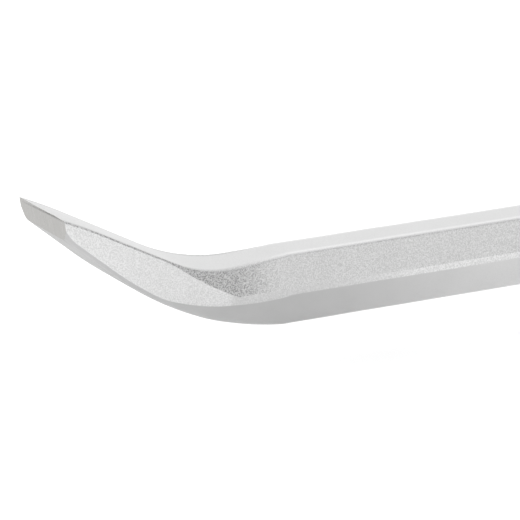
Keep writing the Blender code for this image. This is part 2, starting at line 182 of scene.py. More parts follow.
@dataclass(frozen=True)
class Finish:
    """A material and the way that its surface was made.

    Attributes:
        name: Common name of the material and its process.
        slot: The record's material slot that it belongs to. Not used.
        colour: sRGB hex colour.
        metallic: 1 for a bare or plated metal, 0 for a plastic.
        roughness: Roughness of its shader.
        relief: Depth in metres of its main pattern.
        relief_shown: How much of that relief shows.
        swing: What its pattern adds to the roughness, low and high.
        swing_over: The pattern's values at which it does.
    """

    name: str
    slot: str
    colour: str
    metallic: float
    roughness: float
    relief: float = 0.0
    relief_shown: float = 0.5
    swing: Span = (0.0, 0.0)
    swing_over: Span = (0.3, 0.7)

    def material(self) -> bpy.types.Material:
        """Makes the material, with its constants on the shader and its patterns as nodes.

        Returns:
            The finished material.
        """
        made = bpy.data.materials.new(self.name)
        made.use_nodes = True
        tree = made.node_tree
        shader = tree.nodes["Principled BSDF"]
        shader.inputs["Base Color"].default_value = linear_colour(self.colour)
        shader.inputs["Metallic"].default_value = self.metallic
        shader.inputs["Roughness"].default_value = self.roughness
        place = add_node(tree, "ShaderNodeTexCoord").outputs["Object"]
        self.pattern(tree, shader, place)
        return made

    def pattern(self, tree: Tree, shader: Node, place: Socket) -> None:
        """Adds the surface's own pattern. A plain finish has none.

        Args:
            tree: The material's nodes.
            shader: Its Principled BSDF.
            place: Object coordinates, in metres.
        """

    def stain(
        self, tree: Tree, shader: Node, pattern: Socket, stain: Stain, mask: Socket | None = None
    ) -> None:
        """Blends the shader's colour towards a stain's tone, over any stains that it has.

        Args:
            tree: The material's nodes.
            shader: The shader whose colour changes.
            pattern: The pattern that the stain follows.
            stain: The stain.
            mask: A value painted on the mesh that scales the stain.
        """
        share = add_node(
            tree, "ShaderNodeMapRange", None, ranges(stain.strong, stain.share), {0: pattern}
        ).outputs[0]
        if mask is not None:
            both = {0: mask, 1: share}
            share = add_node(tree, "ShaderNodeMath", {"operation": "MULTIPLY"}, None, both).outputs[0]
        base = shader.inputs["Base Color"]
        colours = {MIX_FIRST: tuple(base.default_value), MIX_SECOND: linear_colour(stain.tone)}
        mix = add_node(tree, "ShaderNodeMix", {"data_type": "RGBA"}, colours, {MIX_SHARE: share})
        if base.is_linked:
            tree.links.new(base.links[0].from_socket, mix.inputs[MIX_FIRST])
        tree.links.new(mix.outputs[MIX_RESULT], base)

    def texture(self, tree: Tree, shader: Node, height: Socket, gloss: Socket) -> None:
        """Gives the shader the finish's relief, and its roughness the finish's swing.

        Args:
            tree: The material's nodes.
            shader: Its Principled BSDF.
            height: The pattern that stands up from the surface.
            gloss: The pattern that the roughness swings with.
        """
        depth = {"Strength": self.relief_shown, "Distance": self.relief}
        bump = add_node(tree, "ShaderNodeBump", None, depth, {"Height": height})
        tree.links.new(bump.outputs[0], shader.inputs["Normal"])
        low, high = (self.roughness + change for change in self.swing)
        values = ranges(self.swing_over, (low, high))
        rough = add_node(tree, "ShaderNodeMapRange", None, values, {0: gloss})
        tree.links.new(rough.outputs[0], shader.inputs["Roughness"])


class Surface(Enum):
    """Values painted on the bar's points, which its finish reads: grain, a painted highlight and
    painted shade.
    """

    # Painted highlight, partly edge wear, on the shank's top edges, the side facets and the parting
    # edges.
    RUBBED = "rubbed"
    # Painted shade in the hollow of the bend.
    RECESSED = "recessed"
    # Painted shade on the underside, the lower and upper sides and the parting edges between facet and
    # shank.
    DULL = "dull"
    GRAINY = "grainy"


@dataclass(frozen=True)
class BlastedPlate(Finish):
    """Forged steel, shot-blasted and then plated in satin nickel-chrome.

    The blasting leaves fine close dimples, which the plating follows: the eye gets a pale silver with a
    dry sparkle and no grinding lines. The shank's top edges, the side facets and the parting edges get
    a painted highlight, partly edge wear, and are smoother. The hollow side of the bend gets painted
    shade with coarser pits, and the underside and the sides get painted shade too.
    Real dimples are about 0.1 mm wide, too fine to show, so they are drawn at more than twice that.

    Attributes:
        grain: Width of a blasted dimple.
        pit: Width of a coarser pit.
        pits_shown: How much of the pits' relief shows.
        cloud: Width of the faint patches that blasting leaves.
        clouds: Tone of those patches.
        wear_and_highlight_tint: Tone of the painted highlight, partly edge wear.
        painted_shade_tint: Tone of the painted shade on the underside and the sides.
        scale: Tone of the painted shade in the bend's hollow, over the coarser pits.
        dimples: Tone down in a dimple.
        recess_shaded_pepper: Tone of the dimples in the bend's painted shade.
        rub_gloss: How much is taken off the roughness where the painted highlight and edge wear go.
    """

    relief: float = 0.05 * MM
    swing: Span = (0.06, -0.06)
    grain: float = 0.26 * MM
    pit: float = 0.572 * MM
    pits_shown: float = 0.3
    cloud: float = 7.0 * MM
    clouds: Stain = Stain("c8c8c8", (0.4, 0.75), (0.0, 0.2))
    # Painted highlight, partly edge wear.
    wear_and_highlight_tint: Stain = Stain("ececec", (0.0, 1.0), (0.0, 0.7))
    # Painted shade on the underside and the sides.
    painted_shade_tint: Stain = Stain("8e8e8e", (0.3, 0.7), (0.84, 0.96))
    # Painted shade in the bend's hollow, over the coarser pits.
    scale: Stain = Stain("8e8e8e", (0.3, 0.62), (0.3, 0.75))
    dimples: Stain = Stain("a6a6a6", (0.36, 0.64), (0.0, 0.55))
    # Darker dimples where the bend's hollow gets painted shade.
    recess_shaded_pepper: Stain = Stain("565656", (0.47, 0.6), (0.0, 0.8))
    rub_gloss: float = 0.06

    def pattern(self, tree: Tree, shader: Node, place: Socket) -> None:
        """Adds dimples, faint clouds, the painted highlight with edge wear, painted shade on the
        underside and sides, and painted shade in the bend's hollow.

        Args:
            tree: The material's nodes.
            shader: Its Principled BSDF.
            place: Object coordinates, in metres.
        """
        at = {"Vector": place}
        grain, pits, clouds = (
            add_node(
                tree, "ShaderNodeTexNoise", None, {"Scale": per_metre(size), "Detail": detail}, at
            ).outputs[0]
            for size, detail in ((self.grain, 1.5), (self.pit, 2.0), (self.cloud, 3.0))
        )
        rubbed, recessed, dull, grainy = (
            add_node(tree, "ShaderNodeAttribute", {"attribute_name": surface.value}).outputs["Fac"]
            for surface in Surface
        )
        self.stain(tree, shader, clouds, self.clouds)
        # Painted highlight, partly edge wear; painted shade on the underside and sides; painted shade
        # in the bend's hollow.
        self.stain(tree, shader, rubbed, self.wear_and_highlight_tint)
        self.stain(tree, shader, clouds, self.painted_shade_tint, dull)
        self.stain(tree, shader, pits, self.scale, recessed)
        self.stain(tree, shader, grain, self.dimples, grainy)
        # Darker dimples in the bend's painted shade.
        self.stain(tree, shader, grain, self.recess_shaded_pepper, recessed)
        self.texture(tree, shader, grain, grain)
        dimples = shader.inputs["Normal"].links[0].from_node
        depth = {"Strength": self.pits_shown, "Distance": self.relief}
        under = add_node(tree, "ShaderNodeBump", None, depth, {"Height": pits})
        tree.links.new(under.outputs[0], dimples.inputs["Normal"])
        swinging = shader.inputs["Roughness"].links[0].from_socket
        inputs = {0: rubbed, 2: swinging}
        kind = {"operation": "MULTIPLY_ADD"}
        smoothed = add_node(tree, "ShaderNodeMath", kind, {1: -self.rub_gloss}, inputs)
        tree.links.new(smoothed.outputs[0], shader.inputs["Roughness"])


@dataclass(frozen=True)
class GroundBevel(Finish):
    """Bare tool steel, belt-ground to a cutting edge.

    A fine belt leaves close, shallow, parallel lines up the bevel, drawn at the finest spacing that
    still shows. It looks greyer, smoother and a little darker than the plating round it.

    Attributes:
        line: Spacing of the grinding lines.
        drawn_out: Factors that draw the lines out up the bevel, for each axis.
        mottle: Width of the faint warm patches.
        mottling: Their tone.
    """

    relief: float = 0.02 * MM
    relief_shown: float = 0.35
    swing: Span = (-0.06, 0.08)
    line: float = 0.3 * MM
    drawn_out: Point = (0.06, 1.0, 0.06)
    mottle: float = 3.0 * MM
    mottling: Stain = Stain("949391", (0.35, 0.7))

    def pattern(self, tree: Tree, shader: Node, place: Socket) -> None:
        """Adds grinding lines and a faint warm mottle.

        Args:
            tree: The material's nodes.
            shader: Its Principled BSDF.
            place: Object coordinates, in metres.
        """
        stretch = {"Scale": self.drawn_out}
        along = add_node(tree, "ShaderNodeMapping", None, stretch, {"Vector": place}).outputs[0]
        values = {"Scale": per_metre(self.line), "Detail": 3.0}
        lines = add_node(tree, "ShaderNodeTexNoise", None, values, {"Vector": along}).outputs[0]
        values = {"Scale": per_metre(self.mottle), "Detail": 3.0}
        mottle = add_node(tree, "ShaderNodeTexNoise", None, values, {"Vector": place}).outputs[0]
        self.stain(tree, shader, mottle, self.mottling)
        self.texture(tree, shader, lines, lines)


@dataclass(frozen=True)
class TurnedSteel(Finish):
    """Steel turned on a lathe round the bar's axis.

    The tool leaves fine rings, so the highlight runs across them in a soft streak. A real feed of about
    0.1 mm is too fine to show, so it is drawn coarser.

    Attributes:
        feed: Spacing of the tool's rings.
        stain_size: Width of the faint stains.
        staining: Their tone.
        axis_height: Height of the turning axis over the floor.
    """

    relief: float = 0.012 * MM
    relief_shown: float = 0.4
    swing: Span = (-0.05, 0.1)
    swing_over: Span = (0.35, 0.7)
    feed: float = 0.25 * MM
    stain_size: float = 4.0 * MM
    staining: Stain = Stain("9a9997", (0.45, 0.75), (0.0, 0.35))
    axis_height: float = 0.0

    def pattern(self, tree: Tree, shader: Node, place: Socket) -> None:
        """Adds turning rings on the faces and round the rim, and faint stains.

        Args:
            tree: The material's nodes.
            shader: Its Principled BSDF.
            place: Object coordinates, in metres.
        """
        centre = {"Location": (0.0, 0.0, -self.axis_height)}
        centred = add_node(tree, "ShaderNodeMapping", None, centre, {"Vector": place}).outputs[0]
        rings_at_scale_one = 20
        scale = per_metre(self.feed) / rings_at_scale_one
        wave = {"Scale": scale, "Distortion": 1.5, "Detail": 2.0, "Detail Scale": 2.0}
        kind = {"wave_type": "RINGS", "rings_direction": "X", "wave_profile": "SIN"}
        rings = add_node(tree, "ShaderNodeTexWave", kind, wave, {"Vector": centred}).outputs["Fac"]
        values = {"Scale": per_metre(self.stain_size), "Detail": 4.0}
        stains = add_node(tree, "ShaderNodeTexNoise", None, values, {"Vector": place}).outputs[0]
        self.stain(tree, shader, stains, self.staining)
        self.texture(tree, shader, rings, stains)


@dataclass(frozen=True)
class DrawnPin(Finish):
    """Drawn steel wire, cut and tumbled into pins: plain, with a fine lengthwise drag.

    Attributes:
        drag: Spacing of the drag lines, coarser than real ones so that they show.
        drawn_out: Factors that draw the lines out along the pin, for each axis.
    """

    relief: float = 0.01 * MM
    drag: float = 0.25 * MM
    drawn_out: Point = (1.0, 0.08, 1.0)

    def pattern(self, tree: Tree, shader: Node, place: Socket) -> None:
        """Adds the drag lines of drawing.

        Args:
            tree: The material's nodes.
            shader: Its Principled BSDF.
            place: Object coordinates, in metres.
        """
        stretch = {"Scale": self.drawn_out}
        along = add_node(tree, "ShaderNodeMapping", None, stretch, {"Vector": place}).outputs[0]
        values = {"Scale": per_metre(self.drag), "Detail": 2.0}
        drag = add_node(tree, "ShaderNodeTexNoise", None, values, {"Vector": along}).outputs[0]
        self.texture(tree, shader, drag, drag)


@dataclass(frozen=True)
class MouldedSkin(Finish):
    """Moulded plastic or elastomer, with the texture that its mould was given.

    The relief scatters the highlight to an even sheen, and handling leaves broad, barely lighter
    patches. Each piece's texture is drawn coarser than the real one where that is too fine to show.

    Attributes:
        grain: Width of the mould texture's cells.
        handled: Width of the handled patches.
        sheen: Tone of those patches.
        ior: Refractive index of the plastic.
    """

    relief: float = 0.03 * MM
    relief_shown: float = 0.6
    swing: Span = (0.05, -0.08)
    swing_over: Span = (0.35, 0.7)
    grain: float = 0.5 * MM
    handled: float = 14.0 * MM
    sheen: Stain = Stain("303134")
    ior: float = 1.5

    def pattern(self, tree: Tree, shader: Node, place: Socket) -> None:
        """Adds the mould's texture and handled patches.

        Args:
            tree: The material's nodes.
            shader: Its Principled BSDF.
            place: Object coordinates, in metres.
        """
        shader.inputs["IOR"].default_value = self.ior
        at = {"Vector": place}
        cell = {"Scale": per_metre(self.grain), "Smoothness": 0.6, "Randomness": 1.0}
        kind = {"feature": "SMOOTH_F1"}
        cells = add_node(tree, "ShaderNodeTexVoronoi", kind, cell, at).outputs["Distance"]
        values = {"Scale": per_metre(self.handled), "Detail": 3.0}
        handled = add_node(tree, "ShaderNodeTexNoise", None, values, at).outputs[0]
        self.stain(tree, shader, handled, self.sheen)
        self.texture(tree, shader, cells, handled)


# ---------------------------------------------------------------------------------------------------
# Mesh helpers
# ---------------------------------------------------------------------------------------------------


class Ends(Enum):
    """How a run of rings ends."""

    CAPPED = "capped"
    LOOPED = "looped"


def between(value: float, start: float, end: float) -> float:
    """How far a value lies from start to end, from 0 to 1."""
    return min(max((value - start) / (end - start), 0.0), 1.0)


def smooth(share: float) -> float:
    """Eases a share from 0 to 1 at both ends."""
    return share * share * (3 - 2 * share)


def spread(start: float, end: float, step: float) -> list[float]:
    """Evenly spaced values from start to end, both included.

    Args:
        start: First value.
        end: Last value.
        step: Widest spacing allowed.

    Returns:
        The values, in order.
    """
    count = max(1, math.ceil((end - start) / step - TINY))
    return [start + (end - start) * index / count for index in range(count + 1)]


def rounded_ramp(share: float, lead_in: float, lead_out: float) -> float:
    """A straight ramp from 0 to 1 with a rounded start and end.

    Args:
        share: Where on the ramp, from 0 to 1.
        lead_in: Share of the ramp that its start takes to reach full slope.
        lead_out: Share that its end takes to level off.

    Returns:
        Height on the ramp.
    """
    share = min(max(share, 0.0), 1.0)
    steepest = 1 / (1 - (lead_in + lead_out) / 2)
    if share < lead_in:
        return steepest * share**2 / (2 * lead_in)
    if share > 1 - lead_out:
        return 1 - steepest * (1 - share) ** 2 / (2 * lead_out)
    return steepest * (share - lead_in / 2)


def mesh_from_rings(name: str, rings: Sequence[Sequence[Point]], ends: Ends) -> bpy.types.Mesh:
    """Bridges rings of equally many points into one closed mesh.

    Args:
        name: Name of the mesh.
        rings: The rings, in order along the piece.
        ends: Whether both ends are capped or the last ring joins the first.

    Returns:
        The mesh, with its faces pointing out and shaded smooth.
    """
    size = len(rings[0])
    points = [point for ring in rings for point in ring]
    spans = [(index, index + 1) for index in range(len(rings) - 1)]
    if ends is Ends.LOOPED:
        spans.append((len(rings) - 1, 0))
    faces: list[tuple[int, ...]] = []
    for first, second in spans:
        for index in range(size):
            after = (index + 1) % size
            near = first * size
            far = second * size
            faces.append((near + index, near + after, far + after, far + index))
    if ends is Ends.CAPPED:
        faces.append(tuple(reversed(range(size))))
        faces.append(tuple(range(len(points) - size, len(points))))
    mesh = bpy.data.meshes.new(name)
    mesh.from_pydata(points, [], faces)
    mesh.validate()
    turn_faces_out(mesh)
    return mesh


def turn_faces_out(mesh: bpy.types.Mesh) -> None:
    """Flips a closed mesh whose faces point inwards.

    Args:
        mesh: The mesh.
    """
    mesh.calc_loop_triangles()
    volume = 0.0
    for triangle in mesh.loop_triangles:
        a, b, c = (mesh.vertices[index].co for index in triangle.vertices)
        volume += a.dot(b.cross(c))
    if volume < 0:
        mesh.flip_normals()


def rounded_edge(radius: float, steps: int) -> Outline:
    """A quarter-round edge, from its end face to its side.

    Args:
        radius: Radius of the edge.
        steps: How many steps it has.

    Returns:
        For each point, how far it lies in from the end face and from the side.
    """
    turns = [math.pi / 2 * step / steps for step in range(steps + 1)]
    return [(radius * (1 - math.cos(turn)), radius * (1 - math.sin(turn))) for turn in turns]


def full_turn(sides: int) -> list[float]:
    """Angles of evenly spaced points round a circle, in radians."""
    return [2 * math.pi * index / sides for index in range(sides)]


def shifted(ring: Sequence[Point], x: float, z: float) -> list[Point]:
    """A ring moved along X and Z."""
    return [(x + own_x, y, z + own_z) for own_x, y, own_z in ring]


def add_piece(
    name: str, mesh: bpy.types.Mesh, finish: Finish, sharp_degrees: float = SHARP_DEGREES
) -> Piece:
    """Puts a mesh in the scene with its finish.

    Args:
        name: Name of the piece.
        mesh: Its mesh, in the row frame.
        finish: Its main finish.
        sharp_degrees: Edges that turn further than this stay sharp.

    Returns:
        The new object.
    """
    piece = bpy.data.objects.new(name, mesh)
    bpy.context.scene.collection.objects.link(piece)
    mesh.materials.append(finish.material())
    mesh.shade_smooth()
    mesh.set_sharp_from_angle(angle=math.radians(sharp_degrees))
    return piece


def stand_for(piece: Piece, node: str, finish: Finish) -> Piece:
    """Makes a piece ride on the body in place of its CAD node.

    Args:
        piece: The detailed piece.
        node: The CAD node that it stands for.
        finish: Its finish, whose name goes in the log.

    Returns:
        The same piece.
    """
    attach(piece, BODY)
    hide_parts(node)
    log.info("%s: %d faces, %s", piece.name, len(piece.data.polygons), finish.name)
    return piece


def lofted_cutter(name: str, rings: Sequence[Sequence[Point]]) -> Piece:
    """A helper lofted through rings, to cut a bore with.

    Args:
        name: Name of the helper.
        rings: Rings of equally many points, in the row frame.

    Returns:
        The helper, to be removed after use.
    """
    cutter = bpy.data.objects.new(name, mesh_from_rings(name, rings, Ends.CAPPED))
    bpy.context.scene.collection.objects.link(cutter)
    return cutter


def round_cutter(name: str, x: float, z: float, radius: float, half_length: float) -> Piece:
    """A cylinder along Y to cut a hole with.

    Args:
        name: Name of the cutter.
        x: Where its axis lies along the bar.
        z: Height of its axis.
        radius: Radius of the hole.
        half_length: Half of its length, more than the wall.

    Returns:
        The cutter, to be removed after use.
    """
    turns = full_turn(HOLE_SIDES)
    rings = [
        [(x + radius * math.cos(turn), y, z + radius * math.sin(turn)) for turn in turns]
        for y in (-half_length, half_length)
    ]
    return lofted_cutter(name, rings)


def cut_away(piece: Piece, cutters: Sequence[Piece]) -> None:
    """Cuts helpers out of a piece for good, and removes them.

    Args:
        piece: The piece to cut.
        cutters: Closed helpers.
    """
    for cutter in cutters:
        modifier = piece.modifiers.new(cutter.name, "BOOLEAN")
        modifier.operation = "DIFFERENCE"
        modifier.solver = "EXACT"
        modifier.object = cutter
    graph = bpy.context.evaluated_depsgraph_get()
    graph.update()
    cut = bpy.data.meshes.new_from_object(piece.evaluated_get(graph), depsgraph=graph)
    piece.modifiers.clear()
    old = piece.data
    piece.data = cut
    bpy.data.meshes.remove(old)
    for cutter in cutters:
        bpy.data.objects.remove(cutter, do_unlink=True)


# ---------------------------------------------------------------------------------------------------
# The forged bar
# ---------------------------------------------------------------------------------------------------


@dataclass
class BarShape:
    """Section and lines of the forging, as distances from the start of its bend towards the edge.

    The shank is a tall drafted hexagon with a blunt parting edge each side. Towards the cutting edge it
    dips, bends up and flares, and a flat facet grows on each side from a point on the parting edge.
    """

    shank_height: float = 15.7 * MM
    shank_width: float = 12.7 * MM
    shank_top_width: float = 9.6 * MM
    parting_height: float = 1.4 * MM
    upper_rounding: float = 0.9 * MM
    lower_rounding: float = 1.5 * MM
    parting_rounding: float = 0.5 * MM
    widest_rounding: float = 0.45
    seat_step: float = 0.5 * MM
    tang_width: float = 9.0 * MM
    tang_height: float = 10.0 * MM
    tang_chamfer: float = 1.2 * MM
    reach: float = 57.5 * MM
    blade_width: float = 21.5 * MM
    end_height: float = 4.6 * MM
    end_set_back: float = 0.75 * MM
    end_set_back_power: int = 4
    blade_rounding: float = 0.28 * MM
    lower_chamfer: float = 1.2 * MM
    end_corner: float = 1.3 * MM
    end_corner_run: float = 2.4 * MM
    upper_runs: tuple[tuple[float | None, float], ...] = (
        (2.5 * MM, -4.5),
        (9.5 * MM, -4.5),
        (19.0 * MM, 27.5),
        (None, 27.5),
        (9.2 * MM, 22.5),
    )
    lower_runs: tuple[tuple[float | None, float], ...] = (
        (2.5 * MM, 0.0),
        (2.0 * MM, 7.0),
        (20.5 * MM, 27.0),
        (22.5 * MM, 43.5),
        (None, 43.5),
    )
    upper_flare: tuple[float, float] = (0.0, 46.0 * MM)
    side_flare: tuple[float, float] = (12.0 * MM, 46.0 * MM)
    flare_leads: tuple[float, float] = (0.2, 0.3)
    side_facet: tuple[float, float] = (15.0 * MM, 34.0 * MM)
    lower_side_end: float = 36.0 * MM
    lower_side_leads: tuple[float, float] = (0.1, 0.1)
    corner_steps: int = 8
    flat_steps: tuple[int, int, int, int, int] = (8, 5, 2, 5, 8)

    def rise(self, distance: float, runs: Sequence[tuple[float | None, float]]) -> float:
        """Rise of a line of straight runs and circular arcs.

        Args:
            distance: How far along the axis from the line's start.
            runs: (run along the axis, slope at its end in degrees). The run of None takes what is left.

        Returns:
            The rise in metres.
        """
        spare = self.reach - sum(run for run, _ in runs if run)
        height = 0.0
        slope = 0.0
        left = distance
        for run, end_degrees in runs:
            length = spare if run is None else run
            end = math.radians(end_degrees)
            taken = min(left, length)
            if abs(end - slope) < TINY:
                height += taken * math.tan(slope)
            else:
                radius = length / (math.sin(end) - math.sin(slope))
                reached = math.asin(math.sin(slope) + taken / radius)
                height += radius * (math.cos(slope) - math.cos(reached))
            slope = end
            left -= taken
            if left <= 0:
                break
        return height

    def upper(self, distance: float) -> float:
        """Height of the upper face over the shank's axis."""
        return self.shank_height / 2 + self.rise(max(distance, 0.0), self.upper_runs)

    def lower(self, distance: float) -> float:
        """Height of the lower face, which meets the end face at its named height.

        Args:
            distance: Distance towards the cutting edge.

        Returns:
            Its height over the shank's axis.
        """
        full = self.rise(self.reach, self.lower_runs)
        needed = self.upper(self.reach) - self.end_height + self.shank_height / 2
        share = max(distance, 0.0) / (self.reach - self.end_set_back)
        return -self.shank_height / 2 + self.rise(share * self.reach, self.lower_runs) * needed / full

    def outline(self, corners: Sequence[tuple[float, float]], set_backs: Sequence[float]) -> Outline:
        """A symmetric closed outline with rounded corners and subdivided flats.

        Args:
            corners: Right-hand corners, top to bottom.
            set_backs: How far each corner's rounding starts from it.

        Returns:
            The outline's points, always equally many.
        """
        every = list(corners) + [(-y, z) for y, z in reversed(corners)]
        cuts = list(set_backs) + list(reversed(set_backs))
        flats = self.flat_runs()
        runs: list[Outline] = []
        for index, (y, z) in enumerate(every):
            ends = []
            for other_y, other_z in (every[index - 1], every[(index + 1) % len(every)]):
                length = math.hypot(other_y - y, other_z - z)
                share = min(cuts[index], self.widest_rounding * length) / length
                ends.append((y + share * (other_y - y), z + share * (other_z - z)))
            steps = range(self.corner_steps + 1)
            runs.append([self.curve_point(ends[0], (y, z), ends[1], step) for step in steps])
        points: Outline = []
        for index, run in enumerate(runs):
            points += run
            y, z = run[-1]
            end_y, end_z = runs[(index + 1) % len(runs)][0]
            for step in range(1, flats[index]):
                share = step / flats[index]
                points.append((y + share * (end_y - y), z + share * (end_z - z)))
        return points

    def flat_runs(self) -> list[int]:
        """How many steps each flat has, after each of the eight corners in turn."""
        top, *side, bottom = self.flat_steps
        return [*side, bottom, *reversed(side), top]

    def curve_point(
        self,
        start: tuple[float, float],
        corner: tuple[float, float],
        end: tuple[float, float],
        step: int,
    ) -> tuple[float, float]:
        """A point on the curve that rounds a corner off.

        Args:
            start: Where the rounding starts.
            corner: The sharp corner.
            end: Where the rounding ends.
            step: Which of the corner's steps.

        Returns:
            The point.
        """
        t = step / self.corner_steps
        weights = ((1 - t) ** 2, 2 * t * (1 - t), t**2)
        points = (start, corner, end)
        return (
            sum(w * p[0] for w, p in zip(weights, points)),
            sum(w * p[1] for w, p in zip(weights, points)),
        )

    def section(self, distance: float) -> list[Point]:
        """The bar's outline at a distance, with x counted from the start of the bend.

        Args:
            distance: Distance towards the cutting edge, negative along the shank.

        Returns:
            Points (x, y, z) about the shank's axis.
        """
        back = self.end_set_back * (max(distance, 0.0) / self.reach) ** self.end_set_back_power
        top = self.upper(distance)
        bottom = self.lower(distance - back)
        upper_flare = rounded_ramp(between(distance, *self.upper_flare), *self.flare_leads)
        side_flare = rounded_ramp(between(distance, *self.side_flare), *self.flare_leads)
        top_half = (self.shank_top_width + (self.blade_width - self.shank_top_width) * upper_flare) / 2
        side_half = (self.shank_width + (self.blade_width - self.shank_width) * side_flare) / 2
        bottom_half = side_half - (self.shank_width - self.shank_top_width) / 2
        edge_half = self.parting_height / 2
        facet = math.sin(math.pi / 2 * between(distance, *self.side_facet))
        facet_top = edge_half + (top - self.blade_rounding - edge_half) * facet
        shank_side = self.shank_height / 2 - edge_half
        narrowing = rounded_ramp(between(distance, 0.0, self.lower_side_end), *self.lower_side_leads)
        lower_side = shank_side + (self.lower_chamfer - shank_side) * narrowing
        at_end = between(distance, self.reach - self.end_corner_run, self.reach)
        lower_side += self.end_corner * at_end**2
        corners = (
            (top_half, top),
            (side_half, facet_top),
            (side_half, bottom + lower_side),
            (bottom_half, bottom),
        )
        crisp = self.upper_rounding + (self.blade_rounding - self.upper_rounding) * facet
        roundings = (crisp, self.parting_rounding, self.parting_rounding, self.lower_rounding)
        points = self.outline(corners, roundings)
        return [(-distance + back * (top - z) / (top - bottom), y, z) for y, z in points]

    def seat_section(self, x: float, room: float = 0.0) -> list[Point]:
        """The shank's outline under the collar, a step smaller than the shank.

        Args:
            x: Place along the bar.
            room: How much larger the outline is than the steel.

        Returns:
            Points about the shank's axis.
        """
        wide = 1 + 2 * (room - self.seat_step) / self.shank_top_width
        high = 1 + 2 * (room - self.seat_step) / self.shank_height
        return [(x, y * wide, z * high) for _, y, z in self.section(0.0)]

    def tang_section(self, x: float, room: float = 0.0) -> list[Point]:
        """The tang's chamfered outline, with as many points as the bar's.

        Args:
            x: Place along the bar.
            room: How much larger the outline is than the steel.

        Returns:
            Points about the shank's axis.
        """
        width = self.tang_width + 2 * room
        height = self.tang_height + 2 * room
        chamfer = self.tang_chamfer
        corners = (
            (width / 2 - chamfer, height / 2),
            (width / 2, height / 2 - chamfer),
            (width / 2, chamfer - height / 2),
            (width / 2 - chamfer, -height / 2),
        )
        return [(x, y, z) for y, z in self.outline(corners, [chamfer / 3] * len(corners))]


@dataclass(frozen=True)
class CornerPaint:
    """Paint of one corner or flat of a section, with a field for each of the surface's values: painted
    highlight, painted shade in the hollow, painted shade elsewhere, and grain.
    """

    rubbed: float
    recessed: float
    dull: float
    grainy: float


